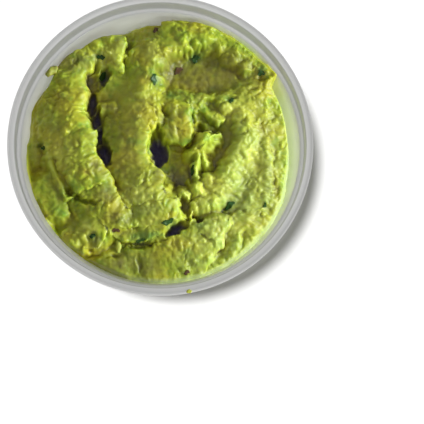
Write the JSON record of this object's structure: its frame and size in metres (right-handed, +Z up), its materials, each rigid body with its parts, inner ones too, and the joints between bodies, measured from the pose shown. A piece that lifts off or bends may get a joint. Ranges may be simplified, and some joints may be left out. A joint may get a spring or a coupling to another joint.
{
  "type": "tub of guacamole",
  "caption": "Round shallow deli tub of clear milky plastic filled with thick spooned guacamole, folded over itself with deep creases, a spoon's scoop and a thin upright fin.",
  "frame": {"origin": "middle of the tub's foot, on the surface that it stands on", "axes": "+Z up along the tub's axis; +X to the right and +Y to the back, with the spoon's scoop at the back right"},
  "size_m": [0.117, 0.117, 0.046],
  "materials": {
    "tub_plastic": "milky, satin, thin-walled moulded plastic that lets light through",
    "avocado_paste": "moist, soft and lumpy, yellow-green with darker olive in its creases"
  },
  "bodies": {
    "root": {"tub": "tub_plastic", "guacamole": "avocado_paste"}
  },
  "joints": []
}
